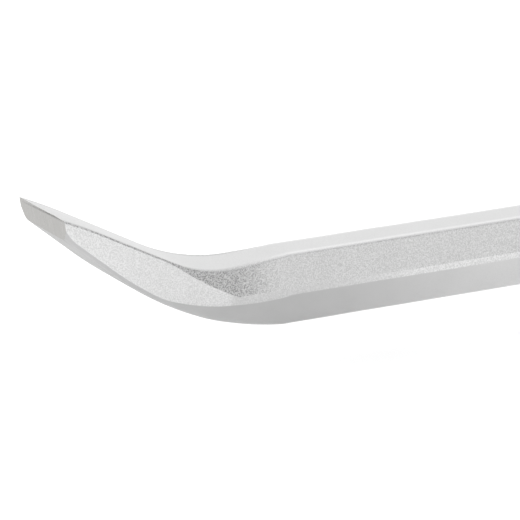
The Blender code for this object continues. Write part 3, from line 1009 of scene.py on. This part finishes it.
@dataclass
class ForgedBar:
    """Blade, flare, bend, shank, shoulder and tang, forged in one piece."""

    shape: BarShape
    bend_x: float
    axis_z: float
    seat_x: float
    shoulder_x: float
    tang_end_x: float
    pin_places: Sequence[tuple[float, float]]
    plate: Finish
    ground: Finish
    blade_step: float = 0.5 * MM
    shank_step: float = 2.5 * MM
    hammer_wave: float = 0.07 * MM
    hammer_length: float = 11.0 * MM
    scale_wave: float = 0.018 * MM
    scale_length: float = 2.2 * MM
    # Paint, as shares, and where along the bar it starts and ends: a painted highlight, partly edge
    # wear, painted shade and grain. The recess is the bend's hollow, which gets painted shade.
    recess_start: float = 3.0 * MM
    recess_end: float = 17.0 * MM
    # Painted highlight, partly edge wear, on the shank's top edges, the side facets and the parting
    # edges along the shank.
    top_wear_and_highlight: float = 0.7
    facet_painted_highlight: float = 0.3
    facet_tip: tuple[float, float] = (15.0 * MM, 18.5 * MM)
    parting_painted_highlight: float = 0.6
    # Painted shade on the parting edges between the facet and the shank.
    parting_painted_shade: float = 0.2
    parting_fade: tuple[float, float] = (4.0 * MM, 36.0 * MM)
    # Painted shade in the bend's hollow on the sides and upper edges, lightly on the other sides, and
    # on the lower sides and underside, growing from the shank into the bend and again towards the tip.
    recess_shade_depth: float = 0.65
    edge_shade_depth: float = 0.5
    side_painted_shade: float = 0.05
    lower_painted_shade: float = 0.03
    under_painted_shade: float = 0.58
    under_shank: tuple[float, float] = (-66.0 * MM, 8.0 * MM)
    tip_painted_shade: float = 0.35
    under_tip: tuple[float, float] = (15.0 * MM, 50.0 * MM)
    facet_grain: float = 0.95
    side_grain: float = 1.3
    edge_grain: float = 0.5
    top_grain: float = 0.45
    plain_grain: float = 0.3
    # The nick in the cutting edge.
    nick_place: float = -5.8 * MM
    nick_half_width: float = 1.3 * MM
    nick_depth: float = 0.35 * MM
    nick_run: float = 1.2 * MM
    nick_height: float = 0.6 * MM
    nick_sink: float = 0.4

    def stations(self) -> list[float]:
        """Distances at which the bar's section is drawn.

        Returns:
            The distances, from the cutting edge to the collar's seat.
        """
        blade = spread(0.0, self.shape.reach, self.blade_step)[::-1]
        shank = spread(0.0, self.seat_x - self.bend_x, self.shank_step)[1:]
        return blade + [-distance for distance in shank]

    def uneven(self, point: Point, distance: float) -> Point:
        """Moves a point by the unevenness that forging leaves.

        Args:
            point: A point about the shank's axis.
            distance: Its section's distance from the start of the bend.

        Returns:
            The moved point.
        """
        x, y, z = point
        middle = (self.shape.upper(distance) + self.shape.lower(distance)) / 2
        radial = Vector((0.0, y, z - middle))
        if radial.length < TINY:
            return point
        place = Vector(point)
        wave = self.hammer_wave * noise.noise(place / self.hammer_length)
        wave += self.scale_wave * noise.noise(place / self.scale_length + Vector((7.0, 3.0, 1.0)))
        moved = place + radial.normalized() * wave
        return (moved.x, moved.y, moved.z)

    def nick(self, point: Point, distance: float) -> Point:
        """Presses a small nick in the cutting edge.

        Args:
            point: A point about the shank's axis.
            distance: Its section's distance from the start of the bend.

        Returns:
            The point, moved where it lies in the nick.
        """
        x, y, z = point
        aside = (y - self.nick_place) / self.nick_half_width
        start = self.shape.reach - self.nick_run
        if abs(aside) >= 1 or distance < start or z < self.shape.upper(distance) - self.nick_height:
            return point
        share = (1 - aside * aside) * between(distance, start, self.shape.reach)
        return (x + self.nick_depth * share, y, z - self.nick_sink * self.nick_depth * share)

    def painted(self, distance: float) -> dict[Surface, list[float]]:
        """What is painted on each point of a section: a painted highlight, partly edge wear, painted
        shade and grain.

        Args:
            distance: The section's distance from the start of the bend.

        Returns:
            For each surface value, one number for each point, in the outline's order.
        """
        shank = 1 - between(distance, 0.0, self.recess_end)
        hollow = smooth(between(distance, self.recess_start, self.recess_end))
        facet = smooth(between(distance, *self.facet_tip))
        along = smooth(between(-distance, *self.parting_fade))
        under = self.lower_painted_shade + self.under_painted_shade * smooth(between(distance, *self.under_shank))
        tip = self.tip_painted_shade * smooth(between(distance, *self.under_tip))
        # Upper edges: painted highlight, partly edge wear, on the shank, and painted shade in the
        # hollow. Parting edges: painted highlight on the facet and shank, with painted shade between.
        # Lower sides and underside: painted shade.
        upper = CornerPaint(self.top_wear_and_highlight * shank, self.edge_shade_depth * hollow, 0.0, self.edge_grain)
        parting = CornerPaint(
            self.facet_painted_highlight * facet + self.parting_painted_highlight * along,
            0.0,
            self.parting_painted_shade * (1 - facet) * (1 - along),
            self.facet_grain,
        )
        lower = CornerPaint(0.0, 0.0, under, self.plain_grain)
        bottom = CornerPaint(0.0, 0.0, under + tip, self.plain_grain)
        side_painted_shade = self.side_painted_shade * (1 - hollow)
        side = CornerPaint(0.0, self.recess_shade_depth * hollow, side_painted_shade, self.side_grain)
        plain = CornerPaint(0.0, 0.0, 0.0, self.top_grain)
        order = (upper, side, parting, lower, bottom, lower, parting, side, upper)
        flats = (*order[1:-1], plain)
        half = self.shape.corner_steps // 2
        found: list[CornerPaint] = []
        for before, after, flat, count in zip(order, order[1:], flats, self.shape.flat_runs()):
            found += [before] * half + [after] * (half + 1) + [flat] * (count - 1)
        return {surface: [getattr(paint, surface.value) for paint in found] for surface in Surface}

    def build(self) -> Piece:
        """Lofts the bar, dresses it and cuts its pin holes.

        Returns:
            The finished piece.
        """
        rings: list[list[Point]] = []
        painted: dict[Surface, list[float]] = {surface: [] for surface in Surface}
        for distance in self.stations():
            ring = [self.nick(self.uneven(p, distance), distance) for p in self.shape.section(distance)]
            rings.append(shifted(ring, self.bend_x, self.axis_z))
            for surface, values in self.painted(distance).items():
                painted[surface] += values
        for x in (self.seat_x, self.shoulder_x):
            rings.append(shifted(self.shape.seat_section(x), 0.0, self.axis_z))
        for x in (self.shoulder_x, self.tang_end_x):
            rings.append(shifted(self.shape.tang_section(x), 0.0, self.axis_z))
        mesh = mesh_from_rings("forged_bar_fine", rings, Ends.CAPPED)
        # The painted highlight, painted shade and grain go on the points as attributes.
        for surface, values in painted.items():
            hidden = [0.0] * (len(mesh.vertices) - len(values))
            attribute = mesh.attributes.new(surface.value, "FLOAT", "POINT")
            attribute.data.foreach_set("value", values + hidden)
        piece = add_piece("forged_bar_fine", mesh, self.plate)
        self.dress_end(piece)
        holes = [
            round_cutter(f"hole_{index}", x, self.axis_z, radius, self.shape.tang_width)
            for index, (x, radius) in enumerate(self.pin_places)
        ]
        cut_away(piece, holes)
        return stand_for(piece, "forged_bar", self.plate)

    def dress_end(self, piece: Piece) -> None:
        """Gives the end face its ground finish.

        Args:
            piece: The bar.
        """
        piece.data.materials.append(self.ground.material())
        caps = [face for face in piece.data.polygons if len(face.vertices) > QUAD_CORNERS]
        min(caps, key=lambda face: face.center.x).material_index = 1


# ---------------------------------------------------------------------------------------------------
# Collar, washers and strike cap
# ---------------------------------------------------------------------------------------------------


def rounded_square(x: float, half_width: float, half_height: float, axis_z: float) -> list[Point]:
    """A ring between an ellipse and a rectangle.

    Args:
        x: Place along the bar.
        half_width: Half of its width.
        half_height: Half of its height.
        axis_z: Height of its centre.

    Returns:
        The ring's points.
    """
    # A squareness of 2 gives an ellipse, and more is squarer.
    power = 2 / RING_SQUARENESS
    ring: list[Point] = []
    for index in range(RING_POINTS):
        turn = 2 * math.pi * (index + 0.5) / RING_POINTS
        y = math.copysign(abs(math.cos(turn)) ** power, math.cos(turn))
        z = math.copysign(abs(math.sin(turn)) ** power, math.sin(turn))
        ring.append((x, half_width * y, axis_z + half_height * z))
    return ring


@dataclass
class TurnedRing:
    """A ring or block round the bar: collar, washer or cap."""

    node: str
    finish: Finish
    axis_z: float
    edge: float
    edge_steps: int = 5
    rim_grooves: Sequence[tuple[float, float, float]] = ()
    groove_steps: int = 6

    def places(self, length: float) -> list[tuple[float, float]]:
        """Distances along the ring and how far its rim lies in at each.

        Args:
            length: Length of the ring along the bar.

        Returns:
            (distance, drop) pairs from front to rear.
        """
        front = rounded_edge(self.edge, self.edge_steps)
        rear = [(length - x, drop) for x, drop in reversed(front)]
        middle: list[tuple[float, float]] = []
        for centre, half_width, depth in self.rim_grooves:
            for step in range(self.groove_steps + 1):
                share = 2 * step / self.groove_steps - 1
                middle.append((centre + share * half_width, depth * math.cos(math.pi / 2 * share)))
        return front + middle + rear

    def mesh(self, low: Vector, high: Vector) -> bpy.types.Mesh:
        """Lofts the ring's outside between the corners of its box.

        Args:
            low: Lowest corner of the CAD node's box.
            high: Highest corner.

        Returns:
            The closed mesh, without its bore.
        """
        half_width, half_height = (high.y - low.y) / 2, (high.z - low.z) / 2
        rings = [
            rounded_square(low.x + x, half_width - drop, half_height - drop, self.axis_z)
            for x, drop in self.places(high.x - low.x)
        ]
        return mesh_from_rings(self.node + "_fine", rings, Ends.CAPPED)

    def build(self, bore: Sequence[Piece]) -> Piece:
        """Makes the ring, cuts its bore and puts it in place of its node.

        Args:
            bore: Helpers that cut its bore and holes.

        Returns:
            The finished piece.
        """
        low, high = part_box(self.node)
        piece = add_piece(self.node + "_fine", self.mesh(low, high), self.finish)
        cut_away(piece, bore)
        return stand_for(piece, self.node, self.finish)


# ---------------------------------------------------------------------------------------------------
# The handle
# ---------------------------------------------------------------------------------------------------


@dataclass
class HandleShape:
    """Outer form of the handle, as distances from its core's front face."""

    length: float = 146.0 * MM
    half_width: float = 17.0 * MM
    half_height: float = 15.5 * MM
    waist_drop: float = 3.2 * MM
    palm_drop: float = 1.5 * MM
    end_drop: float = 3.4 * MM
    guard: float = 9.0 * MM
    front_rounding: float = 6.0 * MM
    rear_rounding: float = 5.0 * MM
    waist_place: float = 0.22
    waist_leads: tuple[float, float] = (0.3, 0.5)
    sleeve_front: float = 17.0 * MM
    sleeve_rear_margin: float = 23.0 * MM
    sleeve_thickness: float = 3.2 * MM
    band_rear_margin: float = 14.5 * MM
    band_width: float = 4.0 * MM
    band_depth: float = 1.5 * MM
    seam_height: float = 0.12 * MM
    seam_half_turn: float = math.radians(1.6)

    def drop(self, x: float) -> float:
        """How far the surface lies inside the guards.

        Args:
            x: Distance from the front face.

        Returns:
            The depth below the guards' crests.
        """
        for distance, rounding in ((x, self.front_rounding), (self.length - x, self.rear_rounding)):
            if distance < rounding:
                return self.end_drop * (1 - math.sqrt(1 - (1 - distance / rounding) ** 2))
        grip = between(x, self.guard, self.length - self.guard)
        dip = min(1.0, math.sin(math.pi * grip) / math.sin(math.pi * self.waist_place))
        eased = rounded_ramp(dip, *self.waist_leads) * self.waist_drop
        if not self.waist_place < grip < 1 - self.waist_place:
            return eased
        palm = math.sin(math.pi * (grip - self.waist_place) / (1 - 2 * self.waist_place)) ** 2
        return eased - (self.waist_drop - self.palm_drop) * palm

    def ring(
        self, start_x: float, axis_z: float, x: float, sunk: float = 0.0, seam: bool = False
    ) -> list[Point]:
        """The handle's ring at a distance from its front face.

        Args:
            start_x: Where the front face lies in the row frame.
            axis_z: Height of the handle's axis.
            x: Distance from the front face.
            sunk: How far below the surface the ring lies.
            seam: Whether the mould's parting line stands on its sides.

        Returns:
            The ring's points.
        """
        drop = self.drop(x) + sunk
        points = rounded_square(start_x + x, self.half_width - drop, self.half_height - drop, axis_z)
        if not seam:
            return points
        return [self.seamed(point, axis_z) for point in points]

    def seamed(self, point: Point, axis_z: float) -> Point:
        """Raises a point that lies on the mould's parting line.

        Args:
            point: A point of the handle's ring.
            axis_z: Height of the handle's axis.

        Returns:
            The point, raised where it lies on the line.
        """
        x, y, z = point
        turn = math.atan2(abs(z - axis_z), abs(y))
        if turn > 2 * self.seam_half_turn:
            return point
        lift = self.seam_height * math.exp(-((turn / self.seam_half_turn) ** 2))
        return (x, y + math.copysign(lift, y), z)

    def sleeve_end(self) -> float:
        """Where the sleeve ends."""
        return self.length - self.sleeve_rear_margin

    def band_span(self) -> tuple[float, float]:
        """Where the size band starts and ends.

        Returns:
            Both distances from the front face.
        """
        start = self.length - self.band_rear_margin - self.band_width
        return start, start + self.band_width


@dataclass
class HandleCore:
    """The rigid core with both guards, moulded over the tang."""

    shape: HandleShape
    start_x: float
    axis_z: float
    finish: Finish
    step: float = 1.5 * MM
    end_step: float = 0.4 * MM
    seat_step: float = 6.0 * MM
    fit: float = 0.04 * MM
    edge: float = 0.4 * MM

    def build(self, cutters: Sequence[Piece]) -> Piece:
        """Lofts the core and cuts the tang's bore and the pin holes.

        Args:
            cutters: Helpers for the bore and the holes.

        Returns:
            The finished piece.
        """
        shape = self.shape
        band_start, band_end = shape.band_span()
        seat = shape.sleeve_thickness + self.fit
        groove = shape.band_depth + self.fit
        sleeve = (shape.sleeve_front - self.fit, shape.sleeve_end() + self.fit)
        band = (band_start - self.fit, band_end + self.fit)
        rear = shape.length - shape.rear_rounding
        rings = [self.ring(x) for x in spread(0.0, shape.front_rounding, self.end_step)]
        guard = spread(shape.front_rounding, shape.sleeve_front - self.edge, self.step)[1:]
        rings += [self.ring(x) for x in guard]
        rings += [self.ring(sleeve[0], self.edge)]
        rings += [self.ring(x, seat) for x in spread(*sleeve, self.seat_step)]
        rings += [self.ring(sleeve[1], self.edge), self.ring(shape.sleeve_end() + self.edge)]
        rings += [self.ring(band_start - self.edge), self.ring(band[0], self.edge / 2)]
        rings += [self.ring(x, groove) for x in band]
        rings += [self.ring(band[1], self.edge / 2)]
        rings += [self.ring(x) for x in spread(band_end + self.edge, rear, self.step)]
        rings += [self.ring(x) for x in spread(rear, shape.length, self.end_step)[1:]]
        mesh = mesh_from_rings("handle_core_fine", rings, Ends.CAPPED)
        piece = add_piece("handle_core_fine", mesh, self.finish)
        cut_away(piece, cutters)
        return stand_for(piece, "handle_core", self.finish)

    def ring(self, x: float, sunk: float = 0.0) -> list[Point]:
        """One ring of the core, with the mould's parting line where it shows."""
        return self.shape.ring(self.start_x, self.axis_z, x, sunk, seam=sunk == 0.0)


@dataclass
class GripSleeve:
    """The soft grooved sleeve moulded round the core."""

    shape: HandleShape
    start_x: float
    axis_z: float
    finish: Finish
    groove_count: int = 9
    groove_pitch: float = 7.0 * MM
    groove_width: float = 2.6 * MM
    groove_depth: float = 0.9 * MM
    lip: float = 0.5 * MM
    lip_steps: int = 4
    step: float = 1.0 * MM
    groove_steps: int = 10
    place_digits: int = 7
    bore_step: float = 6.0 * MM

    def groove(self, x: float) -> float:
        """Depth of the grooves.

        Args:
            x: Distance from the core's front face.

        Returns:
            How far the surface lies below the sleeve's, and 0 between the grooves.
        """
        middle = (self.shape.sleeve_front + self.shape.sleeve_end()) / 2
        first = middle - self.groove_pitch * (self.groove_count - 1) / 2
        nearest = min(abs(x - first - self.groove_pitch * index) for index in range(self.groove_count))
        share = 1 - nearest / (self.groove_width / 2)
        return self.groove_depth * smooth(share) if share > 0 else 0.0

    def places(self) -> list[float]:
        """Distances at which the outside is drawn, closer together in the grooves.

        Returns:
            The distances from the core's front face, in order.
        """
        front = self.shape.sleeve_front + self.lip
        rear = self.shape.sleeve_end() - self.lip
        fine_step = self.groove_width / self.groove_steps
        coarse = [x for x in spread(front, rear, self.step) if self.groove(x) == 0.0]
        fine = [x for x in spread(front, rear, fine_step) if self.groove(x) > 0.0]
        return sorted({round(x, self.place_digits) for x in coarse + fine})

    def build(self) -> Piece:
        """Lofts the sleeve's outside with its grooves and lips, and its bore.

        Returns:
            The finished piece.
        """
        shape = self.shape
        lip = rounded_edge(self.lip, self.lip_steps)[:-1]
        path = [(shape.sleeve_front + run, sunk) for run, sunk in lip]
        path += [(x, self.groove(x)) for x in self.places()]
        path += [(shape.sleeve_end() - run, sunk) for run, sunk in reversed(lip)]
        bore = spread(shape.sleeve_front, shape.sleeve_end(), self.bore_step)
        outside = [shape.ring(self.start_x, self.axis_z, x, sunk) for x, sunk in path]
        inside = [shape.ring(self.start_x, self.axis_z, x, shape.sleeve_thickness) for x in bore]
        mesh = mesh_from_rings("grip_sleeve_fine", outside + inside[::-1], Ends.LOOPED)
        piece = add_piece("grip_sleeve_fine", mesh, self.finish, SOFT_EDGE_DEGREES)
        return stand_for(piece, "grip_sleeve", self.finish)


@dataclass
class SizeBand:
    """The coloured band let into the rear guard."""

    shape: HandleShape
    start_x: float
    axis_z: float
    finish: Finish
    edge: float = 0.25 * MM
    edge_fullness: float = 0.3

    def build(self) -> Piece:
        """Lofts the band with softened rims.

        Returns:
            The finished piece.
        """
        start, end = self.shape.band_span()
        soft = self.edge * self.edge_fullness
        rim = [(0.0, self.shape.band_depth), (0.0, self.edge), (soft, soft), (self.edge, 0.0)]
        path = [(start + run, sunk) for run, sunk in rim]
        path += [(end - run, sunk) for run, sunk in reversed(rim)]
        rings = [self.shape.ring(self.start_x, self.axis_z, x, sunk) for x, sunk in path]
        mesh = mesh_from_rings("size_band_fine", rings, Ends.LOOPED)
        piece = add_piece("size_band_fine", mesh, self.finish, SOFT_EDGE_DEGREES)
        return stand_for(piece, "size_band", self.finish)


@dataclass
class CrossPin:
    """A pin across the bar, with chamfered ends."""

    node: str
    finish: Finish
    chamfer: float = 0.4 * MM
    bore_radius: float = 0.0

    def build(self) -> Piece:
        """Turns the pin in its node's place, hollow where it is a spring pin.

        Returns:
            The finished piece.
        """
        low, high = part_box(self.node)
        centre = (low + high) / 2
        radius = (high.z - low.z) / 2
        half = (high.y - low.y) / 2
        profile = [(-half, radius - self.chamfer), (-half + self.chamfer, radius)]
        profile += [(half - self.chamfer, radius), (half, radius - self.chamfer)]
        ends = Ends.CAPPED
        if self.bore_radius:
            profile += [(half, self.bore_radius), (-half, self.bore_radius)]
            ends = Ends.LOOPED
        turns = full_turn(PIN_SIDES)
        rings = [
            [(centre.x + r * math.cos(turn), y, centre.z + r * math.sin(turn)) for turn in turns]
            for y, r in profile
        ]
        name = self.node + "_fine"
        piece = add_piece(name, mesh_from_rings(name, rings, ends), self.finish)
        return stand_for(piece, self.node, self.finish)


# ---------------------------------------------------------------------------------------------------
# Studio
# ---------------------------------------------------------------------------------------------------


@dataclass(frozen=True)
class Softbox:
    """A square soft light.

    Attributes:
        name: Name of the light.
        direction: Azimuth and elevation in degrees that it shines from, azimuth 0 being the -Y side.
        distance: How far it hangs from the bar.
        size: Its side.
        power: Its power in watts.
    """

    name: str
    direction: tuple[float, float]
    distance: float
    size: float
    power: float


def from_direction(azimuth: float, elevation: float) -> Vector:
    """Unit vector towards a direction.

    Args:
        azimuth: Degrees round Z, 0 on the -Y side and positive towards +X.
        elevation: Degrees above the floor.

    Returns:
        The vector.
    """
    turn = math.radians(azimuth)
    lift = math.radians(elevation)
    return Vector((math.sin(turn) * math.cos(lift), -math.cos(turn) * math.cos(lift), math.sin(lift)))


def face_along(obj: bpy.types.Object, back: Vector) -> None:
    """Turns a camera or light upright, with its back to a direction."""
    obj.rotation_euler = back.to_track_quat("Z", "Y").to_euler()


@dataclass
class Studio:
    """Pale floor, soft lights and the camera."""

    target: Vector
    view: tuple[float, float] = (-28.86, 16.57)
    view_distance: float = 0.749
    lens: float = 242.0
    sensor_width: float = 36.0
    aim_right: float = -5.63 * MM
    aim_up: float = 4.8 * MM
    floor_half: float = 4.0
    floor_drop: float = 0.3 * MM
    floor_colour: str = "fcfcfc"
    floor_roughness: float = 0.9
    floor_sheen: float = 0.1
    world_colour: str = "ffffff"
    world_strength: float = 0.86
    lights: Sequence[Softbox] = (
        Softbox("rear_left_softbox", (-140.0, 25.0), 1.3, 0.9, 12.6),
        Softbox("rear_softbox", (153.0, 20.0), 1.4, 1.0, 0.9),
        Softbox("overhead_softbox", (135.0, 45.0), 1.2, 0.9, 0.8),
        Softbox("front_left_softbox", (-30.0, 35.0), 1.4, 0.8, 7.0),
        Softbox("front_fill_softbox", (45.0, 18.0), 1.4, 0.7, 1.2),
    )

    def build(self) -> None:
        """Makes the floor, the world, the lights and the camera."""
        self.make_floor()
        self.make_world()
        for light in self.lights:
            self.make_light(light)
        self.make_camera()
        bpy.context.scene.view_settings.view_transform = "Standard"

    def make_floor(self) -> None:
        """A plain pale floor just under the handle."""
        half = self.floor_half
        corners = [(-half, -half), (half, -half), (half, half), (-half, half)]
        mesh = bpy.data.meshes.new("floor")
        mesh.from_pydata([(x, y, -self.floor_drop) for x, y in corners], [], [(0, 1, 2, 3)])
        floor = bpy.data.objects.new("floor", mesh)
        bpy.context.scene.collection.objects.link(floor)
        paint = bpy.data.materials.new("floor_paint")
        paint.use_nodes = True
        shader = paint.node_tree.nodes["Principled BSDF"]
        shader.inputs["Base Color"].default_value = linear_colour(self.floor_colour)
        shader.inputs["Roughness"].default_value = self.floor_roughness
        shader.inputs["Specular IOR Level"].default_value = self.floor_sheen
        mesh.materials.append(paint)

    def make_world(self) -> None:
        """An even pale surround."""
        world = bpy.data.worlds.new("studio")
        world.use_nodes = True
        shade = world.node_tree.nodes["Background"]
        shade.inputs["Color"].default_value = linear_colour(self.world_colour)
        shade.inputs["Strength"].default_value = self.world_strength
        bpy.context.scene.world = world

    def make_light(self, light: Softbox) -> None:
        """Hangs one softbox, turned to the bar.

        Args:
            light: The softbox.
        """
        data = bpy.data.lights.new(light.name, "AREA")
        data.shape = "SQUARE"
        data.size = light.size
        data.energy = light.power
        lamp = bpy.data.objects.new(light.name, data)
        bpy.context.scene.collection.objects.link(lamp)
        back = from_direction(*light.direction)
        lamp.location = self.target + light.distance * back
        face_along(lamp, back)

    def make_camera(self) -> None:
        """A long lens on the blade, from the front and a little above."""
        data = bpy.data.cameras.new("camera")
        data.lens = self.lens
        data.sensor_width = self.sensor_width
        camera = bpy.data.objects.new("camera", data)
        bpy.context.scene.collection.objects.link(camera)
        back = from_direction(*self.view)
        face_along(camera, back)
        turned: Matrix = camera.rotation_euler.to_matrix()
        aim = self.target + turned @ Vector((self.aim_right, self.aim_up, 0.0))
        camera.location = aim + self.view_distance * back
        bpy.context.scene.camera = camera


# ---------------------------------------------------------------------------------------------------
# The whole bar
# ---------------------------------------------------------------------------------------------------


@dataclass
class PryBar:
    """Every piece of the bar, placed from the frame's boxes."""

    gap: float = 0.3 * MM
    tang_pin_fit: float = 0.06 * MM
    shank_fit: float = 0.05 * MM
    cap_fit: float = 0.1 * MM
    cap_pin_bore: float = 0.8 * MM
    collar_edge: float = 1.0 * MM
    buffer_edge: float = 0.6 * MM
    washer_edge: float = 0.4 * MM
    cap_edge: float = 1.6 * MM
    cap_edge_steps: int = 8
    collar_groove_places: tuple[float, float] = (2.6 * MM, 6.4 * MM)
    collar_groove_half_width: float = 0.5 * MM
    collar_groove_depth: float = 0.35 * MM
    cutter_margin: float = 10.0 * MM
    shape: BarShape = field(default_factory=BarShape)
    handle: HandleShape = field(default_factory=HandleShape)

    def __post_init__(self) -> None:
        """Reads the places that every piece shares from the frame, and makes the finishes."""
        low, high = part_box("forged_bar")
        core_low, core_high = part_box("handle_core")
        self.bend_x = low.x + self.shape.reach
        self.axis_z = (core_low.z + core_high.z) / 2
        self.start_x = core_low.x
        self.tang_end_x = high.x
        self.handle.length = core_high.x - core_low.x
        self.plate = BlastedPlate("satin_plate_on_blasted_forging", "plated_bar", "d2d2d2", 1.0, 0.45)
        self.ground = GroundBevel("belt_ground_tool_steel", "plated_bar", "9a9997", 1.0, 0.3)
        self.collar_steel = TurnedSteel(
            "turned_satin_steel", "collar_steel", "b9b9b7", 1.0, 0.34, axis_height=self.axis_z
        )
        self.cap_steel = TurnedSteel(
            "hardened_ground_steel",
            "cap_steel",
            "a3a3a2",
            1.0,
            0.3,
            feed=0.35 * MM,
            axis_height=self.axis_z,
        )
        self.pin_steel = DrawnPin("drawn_pin_steel", "pin_steel", "a6a6a6", 1.0, 0.32)
        self.rubber = MouldedSkin("moulded_nitrile_rubber", "buffer", "1c1c1d", 0.0, 0.65, ior=1.52)
        self.core_plastic = MouldedSkin(
            "spark_textured_polypropylene",
            "core_plastic",
            "1b1b1d",
            0.0,
            0.5,
            grain=0.35 * MM,
            ior=1.49,
        )
        self.elastomer = MouldedSkin(
            "pebbled_elastomer",
            "grip_soft",
            "2c2d30",
            0.0,
            0.62,
            grain=0.8 * MM,
            relief=0.1 * MM,
            sheen=Stain("3b3c3f"),
            ior=1.5,
        )
        self.nylon = MouldedSkin(
            "moulded_nylon",
            "band_plastic",
            "a3281f",
            0.0,
            0.35,
            grain=0.3 * MM,
            relief=0.008 * MM,
            sheen=Stain("ad3528"),
            ior=1.53,
        )

    def pin_hole(self, node: str, fit: float, half_length: float) -> Piece:
        """A helper that cuts the hole of a cross pin.

        Args:
            node: The pin's CAD node.
            fit: Room round the pin.
            half_length: Half of the helper's length.

        Returns:
            The helper.
        """
        x, radius = self.pin_place(node)
        return round_cutter(node + "_hole", x, self.axis_z, radius + fit, half_length)

    def pin_place(self, node: str) -> tuple[float, float]:
        """Where a cross pin lies along the bar, and its radius.

        Args:
            node: The pin's CAD node.

        Returns:
            Its place and its radius.
        """
        low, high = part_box(node)
        return (low.x + high.x) / 2, (high.z - low.z) / 2

    def shank_bore(self, name: str, low_x: float, high_x: float) -> Piece:
        """A helper that cuts the shank's seat out of a collar or washer.

        Args:
            name: Name of the helper.
            low_x: Front of the piece.
            high_x: Rear of the piece.

        Returns:
            The helper.
        """
        ends = (low_x - self.cutter_margin, high_x + self.cutter_margin)
        rings = [shifted(self.shape.seat_section(x, self.shank_fit), 0.0, self.axis_z) for x in ends]
        return lofted_cutter(name, rings)

    def tang_bore(self, name: str, low_x: float, high_x: float, room: float) -> Piece:
        """A helper that cuts the tang's section out of a piece.

        Args:
            name: Name of the helper.
            low_x: Where the cut starts.
            high_x: Where it ends.
            room: Room round the tang.

        Returns:
            The helper.
        """
        ends = (low_x, high_x)
        rings = [shifted(self.shape.tang_section(x, room), 0.0, self.axis_z) for x in ends]
        return lofted_cutter(name, rings)

    def build_bar(self) -> None:
        """Makes the forging."""
        places = [self.pin_place(node) for node in ("tang_pin_front", "tang_pin_rear", "cap_pin")]
        holes = [(x, radius + self.tang_pin_fit) for x, radius in places]
        ForgedBar(
            self.shape,
            self.bend_x,
            self.axis_z,
            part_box("bolster_collar")[0].x - self.gap,
            self.start_x - self.gap,
            self.tang_end_x,
            holes,
            self.plate,
            self.ground,
        ).build()

    def build_front(self) -> None:
        """Makes the collar and the buffer washer."""
        low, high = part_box("bolster_collar")
        bore = self.shank_bore("collar_bore", low.x, high.x)
        half_width, depth = self.collar_groove_half_width, self.collar_groove_depth
        grooves = [(x, half_width, depth) for x in self.collar_groove_places]
        TurnedRing(
            "bolster_collar", self.collar_steel, self.axis_z, self.collar_edge, rim_grooves=grooves
        ).build([bore])
        low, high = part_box("buffer_washer")
        bore = self.shank_bore("buffer_bore", low.x, high.x)
        TurnedRing("buffer_washer", self.rubber, self.axis_z, self.buffer_edge).build([bore])

    def build_handle(self) -> None:
        """Makes the core, the sleeve and the band."""
        low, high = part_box("handle_core")
        margin = self.cutter_margin
        cutters = [
            self.tang_bore("core_bore", low.x - margin, high.x + margin, self.tang_pin_fit),
            self.pin_hole("tang_pin_front", self.tang_pin_fit, high.y + margin),
            self.pin_hole("tang_pin_rear", self.tang_pin_fit, high.y + margin),
        ]
        HandleCore(self.handle, self.start_x, self.axis_z, self.core_plastic).build(cutters)
        GripSleeve(self.handle, self.start_x, self.axis_z, self.elastomer).build()
        SizeBand(self.handle, self.start_x, self.axis_z, self.nylon).build()

    def build_rear(self) -> None:
        """Makes the cap's washer, the strike cap and the pins."""
        margin = self.cutter_margin
        low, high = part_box("cap_washer")
        bore = self.tang_bore("washer_bore", low.x - margin, high.x + margin, self.cap_fit)
        TurnedRing("cap_washer", self.collar_steel, self.axis_z, self.washer_edge).build([bore])
        low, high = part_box("strike_cap")
        pocket = self.tang_bore("cap_pocket", low.x - margin, self.tang_end_x + self.gap, self.cap_fit)
        hole = self.pin_hole("cap_pin", self.tang_pin_fit, high.y + margin)
        cap = TurnedRing("strike_cap", self.cap_steel, self.axis_z, self.cap_edge, self.cap_edge_steps)
        cap.build([pocket, hole])
        CrossPin("tang_pin_front", self.pin_steel).build()
        CrossPin("tang_pin_rear", self.pin_steel).build()
        CrossPin("cap_pin", self.pin_steel, bore_radius=self.cap_pin_bore).build()


def clear_startup() -> None:
    """Removes whatever objects the session started with."""
    for old in list(bpy.data.objects):
        bpy.data.objects.remove(old, do_unlink=True)


def main() -> None:
    """Loads the frame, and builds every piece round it."""
    logging.basicConfig(level=logging.INFO, format="%(name)s: %(message)s")
    clear_startup()
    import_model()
    bar = PryBar()
    for build in (bar.build_bar, bar.build_front, bar.build_handle, bar.build_rear):
        build()
    Studio(Vector((bar.bend_x, 0.0, bar.axis_z))).build()


if __name__ == "__main__":
    main()
